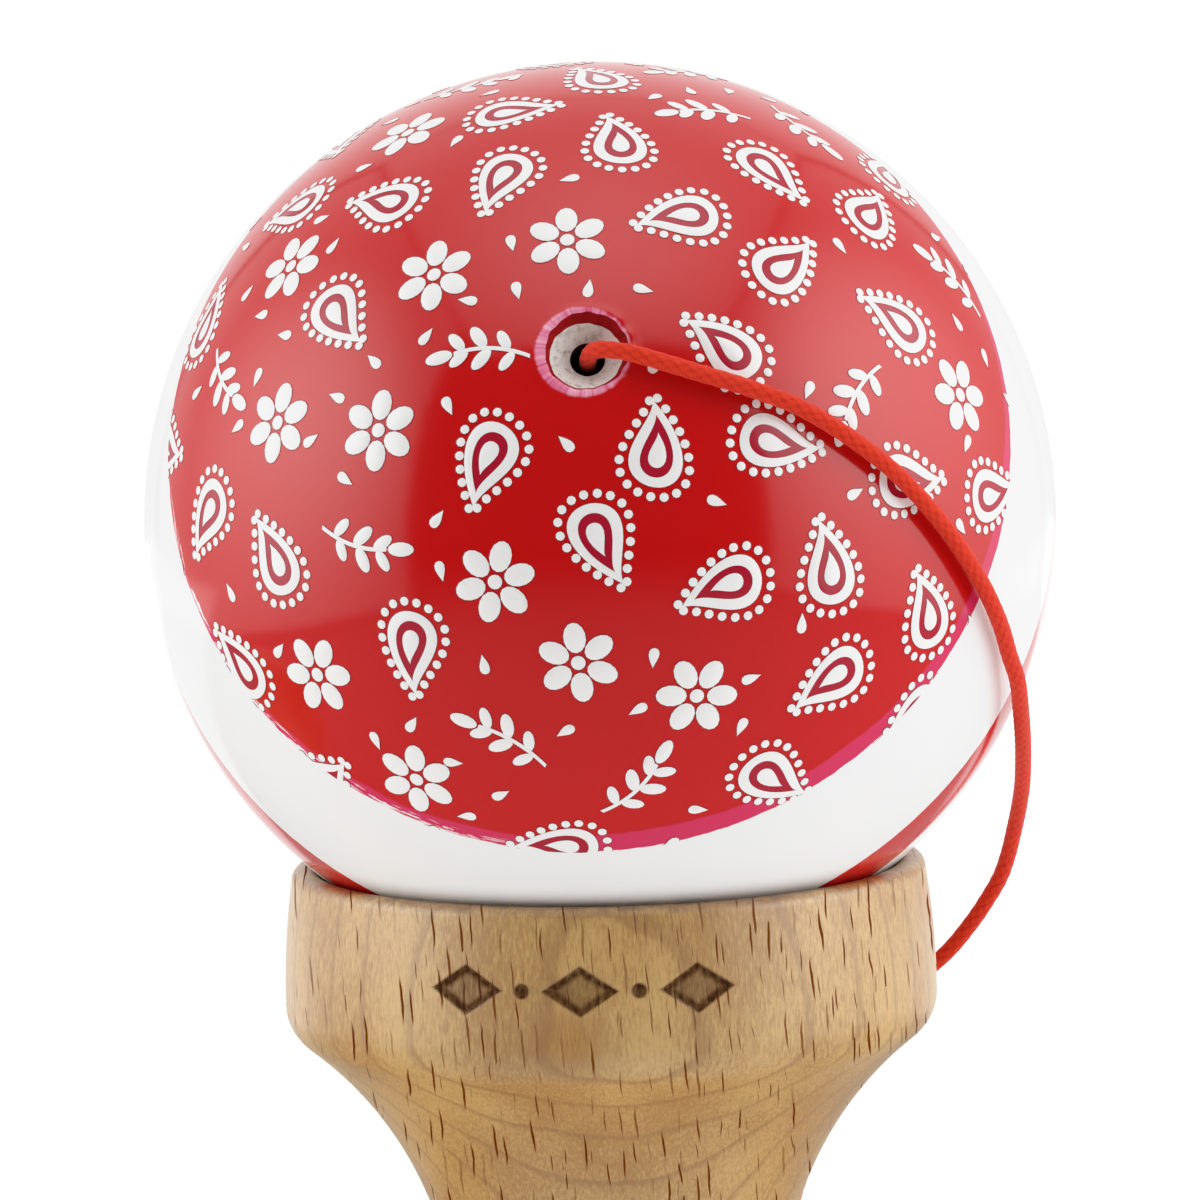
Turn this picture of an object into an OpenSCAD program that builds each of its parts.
// Cup and ball toy, with a turned handle pushed through a turned cross piece.
// It stands on its small cup, with the drilled ball resting in its big cup.
// Up is +Z, the spike points to +X, and the cord hole of the cross piece faces +Y.
// The origin is on the table, at the centre of the small cup's rim.

/* [Ball] */
// Diameter of the ball
ball_d = 60; // [56:0.5:64]
// Angle of the cord hole above level, towards the front
ball_tilt = 26; // [10:1:40]
// Angle of the cord hole to the right of the front
ball_turn = -1.2; // [-10:0.2:10]
// Diameter of the large hole
ball_hole_d = 22; // [19:0.5:24]
// Length of the large hole's straight wall
ball_hole_wall = 17; // [10:0.5:19]
// Depth of the large hole from the ball's far end
ball_hole_depth = 42; // [38:0.5:44]
// Diameter at the inner end of the large hole
ball_hole_end_d = 12; // [10:0.5:15]
// Diameter of the bevel at the large hole's mouth
ball_bevel_d = 25; // [24.5:0.1:28]
// Diameter of the cord hole in the ball
ball_cord_hole_d = 2.2; // [1.8:0.1:3]
// Diameter of the cord hole's countersink
countersink_d = 5.4; // [4:0.1:6]
// Depth of the cord hole's countersink
countersink_depth = 1.6; // [1:0.1:2.4]

/* [Cross piece] */
// Thickness of the waist between the cups
waist_d = 21.8; // [20:0.1:25]
// Length of the straight waist
waist_len = 6.4; // [4:0.1:9]
// Height of the big cup above the straight waist
big_len = 31.3; // [29:0.1:34]
// Widest diameter of the big cup
big_d = 43.3; // [42.5:0.1:46]
// Diameter of the big cup's rim, at the middle of its lip
big_rim_d = 40.2; // [39:0.1:41]
// Radius of the big cup's flare
big_flare_r = 25.2; // [23:0.1:27]
// Height of the small cup below the straight waist
small_len = 31.3; // [29:0.1:34]
// Widest diameter of the small cup
small_d = 39.8; // [39:0.1:42]
// Diameter of the small cup's rim, at the middle of its lip
small_rim_d = 36.4; // [34:0.1:37.5]
// Radius of the small cup's flare
small_flare_r = 26; // [24:0.1:28]
// Radius of the rounded corner below each cup's band
corner_r = 3.2; // [2:0.1:4]
// Radius of the hollow of both cups
dish_r = 24.6; // [23:0.1:30]
// Diameter of the cord hole in the cross piece
cross_cord_hole_d = 2.4; // [2:0.1:3]
// Diameter of that hole's countersunk mouth
cross_mouth_d = 4.2; // [3.4:0.1:5]
// Diameter of the pocket for the cord's knot
knot_pocket_d = 4.4; // [4.2:0.1:5]
// Wood left outside the knot's pocket
knot_pocket_wall = 1.6; // [1.2:0.1:2]

/* [Handle] */
// Length of the handle from base rim to spike tip
handle_len = 165; // [150:1:180]
// Distance from the base rim to the middle of the cross piece
cross_at = 106; // [98:1:114]
// Widest diameter of the base cup
base_d = 39.6; // [39:0.1:42]
// Diameter of the base cup's rim, at the middle of its lip
base_rim_d = 37.2; // [34:0.1:37.5]
// Radius of the base cup's hollow
base_dish_r = 30; // [27:0.5:34]
// Distance from the base rim to the slimmest place
base_len = 32; // [30:0.5:36]
// Radius of the base cup's flare
base_flare_r = 27; // [26:0.1:29]
// Slimmest diameter of the handle
handle_waist_d = 17.6; // [16:0.1:20]
// Diameter of the grip's swell
grip_d = 21.2; // [20:0.1:24]
// Distance from the base rim to the grip's swell
grip_at = 66; // [56:0.5:72]
// Diameter of the handle beside the cross piece
neck_d = 17; // [15.5:0.1:19]
// Diameter of the tapered seat at the middle of the cross piece
seat_d = 13.4; // [12:0.1:14]
// Diameter that the seat loses along each millimetre
seat_taper = 0.03; // [0.01:0.005:0.05]
// Diameter of the spike's blunt tip
tip_d = 5.4; // [4:0.1:7]

/* [Lips and fits] */
// Thickness of each cup's lip
lip_w = 1.9; // [1.6:0.1:2.4]
// Rounding of the big cup's lip
big_lip_r = 0.8; // [0.5:0.05:0.8]
// Rounding of the lips that stand flat on a table
flat_lip_r = 0.45; // [0.3:0.05:0.7]
// Rounding of the handle's shoulder
shoulder_r = 1; // [0.5:0.1:1.3]
// Clearance all round the tapered seat
seat_clearance = 0.05; // [0.02:0.01:0.1]
// Clearance between pieces that only lie close
part_gap = 0.3; // [0.2:0.05:0.4]
// Clearance between the ball and what it rests on or turns on
ball_gap = 0.1; // [0.05:0.01:0.15]

/* [Cord and bead] */
// Diameter of the cord
cord_d = 1.1; // [0.9:0.05:1.3]
// Diameter of the bead inside the ball
bead_d = 8; // [7:0.1:9]
// Length of the bead
bead_len = 7; // [6:0.1:8]
// Diameter of the bead's flat ends
bead_end_d = 5; // [4.4:0.1:6]
// Diameter of the hole through the bead
bead_hole_d = 1.8; // [1.6:0.1:2.2]
// Diameter of each knot
knot_d = 3.6; // [3:0.1:3.8]
// Diameter of each knot's flat ends
knot_end_d = 2.6; // [2.2:0.1:2.9]
// Length of each knot
knot_len = 1.9; // [1.5:0.1:2.1]
// Spacing of the turns wound round the lower neck
wind_pitch = 1.78; // [1.7:0.01:1.9]

/* [Hidden] */
$fn = 96;

// Colours
wood = [0.80, 0.66, 0.46];
paint = [0.72, 0.07, 0.10];
cord_red = [0.82, 0.27, 0.17];
bead_wood = [0.86, 0.76, 0.58];

// Steps along arcs and curves, and sides of the cord
arc_steps = 10;
curve_steps = 18;
band_steps = 6;
tube_sides = 8;
wind_sides = 6;
wind_rings = 24;
spline_steps = 2;

// Heights of the cross piece
axis_z = small_len + waist_len / 2;
cross_len = small_len + waist_len + big_len;
waist_r = waist_d / 2;

// The ball rests on the inner edge of the big cup's lip
ball_r = ball_d / 2;
lip_edge_r = big_rim_d / 2 - lip_w / 2 + big_lip_r;
ball_z = cross_len - big_lip_r + sqrt(pow(ball_r + big_lip_r + ball_gap, 2) - pow(lip_edge_r, 2));
ball_centre = [0, 0, ball_z];
hole_end = ball_hole_depth - ball_r;

// The handle's shoulder stops short of both flares
tight_flare_r = min(big_flare_r, small_flare_r);
shoulder_drop = neck_d / 2 - waist_len / 2;
shoulder_x = waist_r + tight_flare_r - sqrt(pow(tight_flare_r, 2) - pow(shoulder_drop, 2)) + part_gap;

// Places inside the ball, measured from its centre towards the cord hole
bead_top = hole_end - ball_gap;
bead_foot = bead_top - bead_len;
cord_join = ball_r - countersink_depth - cord_d / 2;

// Knot in the cross piece, measured from its axis
pocket_end = waist_r - knot_pocket_wall;
knot_end = pocket_end - ball_gap;

function unit(v) = v / norm(v);
function arc(cx, cy, r, from, to, n = arc_steps) =
    [for (i = [0:n]) let (a = from + (to - from) * i / n) [cx + r * cos(a), cy + r * sin(a)]];
function ease(a, b, t) = a + (b - a) * (1 - cos(180 * t)) / 2;
function reversed(list) = [for (i = [len(list) - 1:-1:0]) list[i]];
function seat_r(x) = seat_d / 2 - x * seat_taper / 2;

// Half of a turned cup, as [radius, height above the waist], from the middle of the hollow
// over the lip, down the slightly barrelled band, round its corner and along the flare
function cup_half(height, rim_r, lip_r, band_r, flare_r, neck_r, hollow_r) =
    let (inner = rim_r - lip_w / 2, outer = rim_r + lip_w / 2)
    let (hollow_h = height - lip_r + sqrt(pow(hollow_r, 2) - pow(inner, 2)))
    let (flare_x = neck_r + flare_r, corner_x = band_r - corner_r)
    let (corner_h = sqrt(pow(flare_r + corner_r, 2) - pow(flare_x - corner_x, 2)))
    let (meet = atan2(corner_h, flare_x - corner_x), band_top = height - lip_r)
    concat(
        [[0, hollow_h - hollow_r]],
        [for (i = [1:curve_steps]) let (a = asin(inner / hollow_r) * i / curve_steps)
            [hollow_r * sin(a), hollow_h - hollow_r * cos(a)]],
        [for (i = [1:arc_steps]) arc(inner + lip_r, band_top, lip_r, 180, 90)[i]],
        arc(outer - lip_r, band_top, lip_r, 90, 0),
        [for (i = [1:band_steps]) let (t = 1 - i / band_steps)
            [band_r - (band_r - outer) * t * t, corner_h + (band_top - corner_h) * t]],
        [for (i = [1:arc_steps]) arc(corner_x, corner_h, corner_r, 0, -meet)[i]],
        [for (i = [1:curve_steps]) let (a = meet * (1 - i / curve_steps))
            [flare_x - flare_r * cos(a), flare_r * sin(a)]]
    );

big_half = cup_half(big_len, big_rim_d / 2, big_lip_r, big_d / 2, big_flare_r, waist_r, dish_r);
small_half = cup_half(small_len, small_rim_d / 2, flat_lip_r, small_d / 2, small_flare_r, waist_r,
    dish_r);
base_half = cup_half(base_len, base_rim_d / 2, flat_lip_r, base_d / 2, base_flare_r,
    handle_waist_d / 2, base_dish_r);

cross_profile = concat(
    [for (p = small_half) [p.x, small_len - p.y]],
    [for (p = reversed(big_half)) [p.x, small_len + waist_len + p.y]]
);

// The handle's outline as [radius, place along its axis], with the cross piece at 0
base_end = base_len - cross_at;
grip_x = grip_at - cross_at;
spike_end = handle_len - cross_at - tip_d / 2;
neck_end = -shoulder_x - shoulder_r;
spike_bow = 1.25;
handle_profile = concat(
    [for (p = base_half) [p.x, base_end - p.y]],
    [for (i = [1:curve_steps]) let (t = i / curve_steps)
        [ease(handle_waist_d, grip_d, t) / 2, base_end + (grip_x - base_end) * t]],
    [for (i = [1:curve_steps]) let (t = i / curve_steps)
        [ease(grip_d, neck_d, t) / 2, grip_x + (neck_end - grip_x) * t]],
    [for (i = [1:arc_steps]) arc(neck_d / 2 - shoulder_r, neck_end, shoulder_r, 0, 90)[i]],
    [[seat_r(-shoulder_x), -shoulder_x]],
    [for (i = [0:curve_steps]) let (t = i / curve_steps, r = seat_r(shoulder_x))
        [r + (tip_d / 2 - r) * pow(t, spike_bow), shoulder_x + (spike_end - shoulder_x) * t]],
    [for (i = [1:arc_steps]) arc(0, spike_end, tip_d / 2, 0, 90)[i]]
);

// A barrel with flat ends, as [radius, height]
function barrel(d, end_d, length) = concat(
    [[0, 0]],
    [for (i = [0:curve_steps]) let (t = i / curve_steps)
        [end_d / 2 + (d - end_d) / 2 * sin(180 * t), length * t]],
    [[0, length]]
);

// Puts a shape on the ball's drilled axis, with +Z towards the cord hole
module on_ball_axis() {
    translate(ball_centre) rotate([0, 0, ball_turn]) rotate([90 - ball_tilt, 0, 0]) children();
}

// Puts a shape on the handle's axis, with +Z towards the spike
module on_handle_axis() {
    translate([0, 0, axis_z]) rotate([0, 90, 0]) children();
}

// Puts a shape on the cord hole of the cross piece, with +Z towards the back
module on_cord_hole() {
    translate([0, 0, axis_z]) rotate([-90, 0, 0]) children();
}

module cross_cup() {
    bore_x = waist_r + big_flare_r;
    mouth_depth = (cross_mouth_d - cross_cord_hole_d) / 2;
    color(wood) difference() {
        rotate_extrude() polygon(cross_profile);
        on_handle_axis() translate([0, 0, -bore_x])
            cylinder(h = 2 * bore_x, r1 = seat_r(-bore_x) + seat_clearance,
                r2 = seat_r(bore_x) + seat_clearance);
        on_cord_hole() cylinder(h = bore_x, d = cross_cord_hole_d);
        on_cord_hole() cylinder(h = pocket_end, d = knot_pocket_d);
        on_cord_hole() translate([0, 0, waist_r - mouth_depth])
            cylinder(h = 2 * mouth_depth, d1 = cross_cord_hole_d, d2 = cross_cord_hole_d + 4 * mouth_depth);
    }
}

module handle() {
    color(wood) on_handle_axis() rotate_extrude() polygon(handle_profile);
}

module ball() {
    wall_foot = -sqrt(pow(ball_r, 2) - pow(ball_bevel_d / 2, 2)) + (ball_bevel_d - ball_hole_d) / 2;
    wall_top = wall_foot + ball_hole_wall;
    bevel_out = ball_r + wall_foot;
    color(paint) difference() {
        translate(ball_centre) sphere(d = ball_d);
        on_ball_axis() {
            translate([0, 0, -ball_r]) cylinder(h = ball_r + wall_top, d = ball_hole_d);
            translate([0, 0, wall_top])
                cylinder(h = hole_end - wall_top, d1 = ball_hole_d, d2 = ball_hole_end_d);
            translate([0, 0, -ball_r])
                cylinder(h = bevel_out, d1 = ball_hole_d + 2 * bevel_out, d2 = ball_hole_d);
            cylinder(h = ball_d, d = ball_cord_hole_d);
            translate([0, 0, ball_r - countersink_depth])
                cylinder(h = 2 * countersink_depth, d1 = ball_cord_hole_d,
                    d2 = 2 * countersink_d - ball_cord_hole_d);
        }
    }
}

module bead() {
    color(bead_wood) on_ball_axis() translate([0, 0, bead_foot]) difference() {
        rotate_extrude() polygon(barrel(bead_d, bead_end_d, bead_len));
        translate([0, 0, -bead_len]) cylinder(h = 3 * bead_len, d = bead_hole_d);
    }
}

module knot() {
    rotate_extrude($fn = 48) polygon(barrel(knot_d, knot_end_d, knot_len));
}

module bead_knot() {
    color(cord_red) on_ball_axis() translate([0, 0, bead_foot - knot_len]) knot();
}

module cup_knot() {
    color(cord_red) on_cord_hole() translate([0, 0, knot_end - knot_len]) knot();
}

module cord_in_ball() {
    color(cord_red) on_ball_axis() translate([0, 0, bead_foot])
        cylinder(h = cord_join - bead_foot, d = cord_d, $fn = 24);
}

// The cord's line on the ball: its rise out of the hole as [sideways, outwards] from the ball's
// centre, then angles to the right and up
rise_points = [[0, ball_r - 1.4], [0.6, ball_r + 0.1]];
ball_angles = [[4, 25], [8.6, 23.6], [12.8, 22.2], [16.8, 20.9], [21, 19.3], [25.4, 17.4], [30.8, 14],
    [36.4, 9.8], [40.9, 5.7], [44.9, 1.7], [48.6, -2.2], [52.4, -6.2], [56.7, -10.8], [60.9, -15.2]];
// The cord's line off the ball: down its right side, behind the big cup and down to the lower neck
loop_points = [[26.6, -12.6, 81.9], [27, -9.2, 79.4], [27.3, -5.8, 77.2], [27.5, -2.4, 75.1],
    [27.6, 0.8, 73.1], [27.5, 3.4, 71.2], [27.3, 5.4, 69.5], [27, 7, 67.7], [26.5, 8.3, 65.9],
    [25.7, 9.3, 64.3], [24.6, 10.2, 62.5], [22.8, 11.2, 60.2], [20, 12.6, 57.6], [17.4, 13.8, 54.4],
    [15, 14.6, 50], [13, 15.2, 45], [11.4, 15.6, 40], [10.2, 15.8, 35], [9.2, 16, 30.5], [8, 16.2, 26],
    [6, 16.5, 22], [3, 16.4, 19.4]];
// The cord's line from the winding up the back of the waist and into the cord hole
tail_points = [[3.4, 13.2, 23.6], [1.8, 13.7, 25], [0.7, 13.5, 27.4], [0.2, 13.1, 30], [0, 12.7, 32.2],
    [0, 11.9, 33.8]];

cord_lift = cord_d / 2 + part_gap;
axis_out = [sin(ball_turn) * cos(ball_tilt), -cos(ball_turn) * cos(ball_tilt), sin(ball_tilt)];
axis_side = [cos(ball_turn), sin(ball_turn), 0];
function on_ball(a) = ball_centre
    + (ball_r + cord_lift) * [cos(a.y) * sin(a.x), -cos(a.y) * cos(a.x), sin(a.y)];

// The winding climbs the lower flare from wind_low, by angle down the flare's arc
wind_from = 100;
wind_turn = 1045;
wind_low = 31;
wind_arc_r = small_flare_r - cord_d / 2 - part_gap;
wind_climb = wind_pitch / wind_arc_r * 180 / PI / 360;
function wound(turned) =
    let (a = wind_low - wind_climb * turned)
    let (r = waist_r + small_flare_r - wind_arc_r * cos(a))
    [r * cos(wind_from + turned), r * sin(wind_from + turned), small_len - wind_arc_r * sin(a)];
wind_step = 360 / wind_rings;
wind_count = round(wind_turn / wind_step);
wind_points = [for (i = [0:wind_count]) wound(i * wind_turn / wind_count)];
wind_lead = cord_d * unit(wind_points[1] - wind_points[0]);
wind_start = wind_points[0] - wind_lead;
hole_mouth = [0, pocket_end + cord_d, axis_z];

// A smooth line through the points, with its end points kept
function spline_at(p, i, t) =
    let (a = i == 0 ? 2 * p[0] - p[1] : p[i - 1], b = p[i], c = p[i + 1])
    let (d = i + 2 < len(p) ? p[i + 2] : 2 * c - b)
    b + ((c - a) + ((2 * a - 5 * b + 4 * c - d) + (3 * b - a - 3 * c + d) * t) * t) * t / 2;
function smooth(p) = concat(
    [for (i = [0:len(p) - 2]) for (k = [0:spline_steps - 1]) spline_at(p, i, k / spline_steps)],
    [p[len(p) - 1]]
);

free_line = concat(
    [ball_centre + axis_out * cord_join],
    smooth(concat(
        [for (p = rise_points) ball_centre + axis_side * p.x + axis_out * p.y],
        [for (a = ball_angles) on_ball(a)],
        loop_points,
        [wind_start - wind_lead]
    )),
    [wind_start]
);
tail_line = smooth(concat([wind_points[wind_count]], tail_points, [hole_mouth]));
wind_line = concat(
    [wind_start],
    wind_points,
    [for (i = [1:len(tail_line) - 1]) tail_line[i]],
    [[0, knot_end, axis_z]]
);

// A round tube of triangles along a line, cut square at both ends
module tube(line, sides) {
    last = len(line) - 1;
    along = [for (i = [0:last]) unit(line[min(i + 1, last)] - line[max(i - 1, 0)])];
    first_side = unit(cross(along[0], [0, 0, 1]));
    across = [for (i = 0, s = first_side; i <= last;
        i = i + 1, s = i > last ? s : unit(s - along[i] * (s * along[i]))) s];
    rings = [for (i = [0:last]) for (k = [0:sides - 1]) let (a = 360 * k / sides)
        line[i] + cord_d / 2 * (across[i] * cos(a) + cross(along[i], across[i]) * sin(a))];
    walls = [for (i = [0:last - 1]) for (k = [0:sides - 1])
        let (a = i * sides + k, b = i * sides + (k + 1) % sides)
        each [[a, a + sides, b], [b, a + sides, b + sides]]];
    end = last * sides;
    caps = [for (k = [1:sides - 2]) each [[0, k, k + 1], [end, end + k + 1, end + k]]];
    polyhedron(rings, concat(walls, caps));
}

module cord_free() {
    color(cord_red) tube(free_line, tube_sides);
}

module cord_winding() {
    color(cord_red) tube(wind_line, wind_sides);
}

// Length of a line, and the least gap between stretches of it that are more than a quarter turn apart
function length_of(line, i = 1) = i == len(line) ? 0 : norm(line[i] - line[i - 1]) + length_of(line, i + 1);
function least_gap(line) = min([for (i = [0:len(line) - 1])
    for (j = [i + wind_rings / 4:1:len(line) - 1]) norm(line[i] - line[j])]) - cord_d;
echo(free_cord = length_of(free_line), wound_cord = length_of(wind_line));
echo(cord_in_the_ball = cord_join - bead_foot, least_gap_of_winding = least_gap(wind_line));
echo(ball_height = ball_z, handle_height = axis_z);

cross_cup();
handle();
ball();
bead();
bead_knot();
cord_in_ball();
cord_free();
cord_winding();
cup_knot();
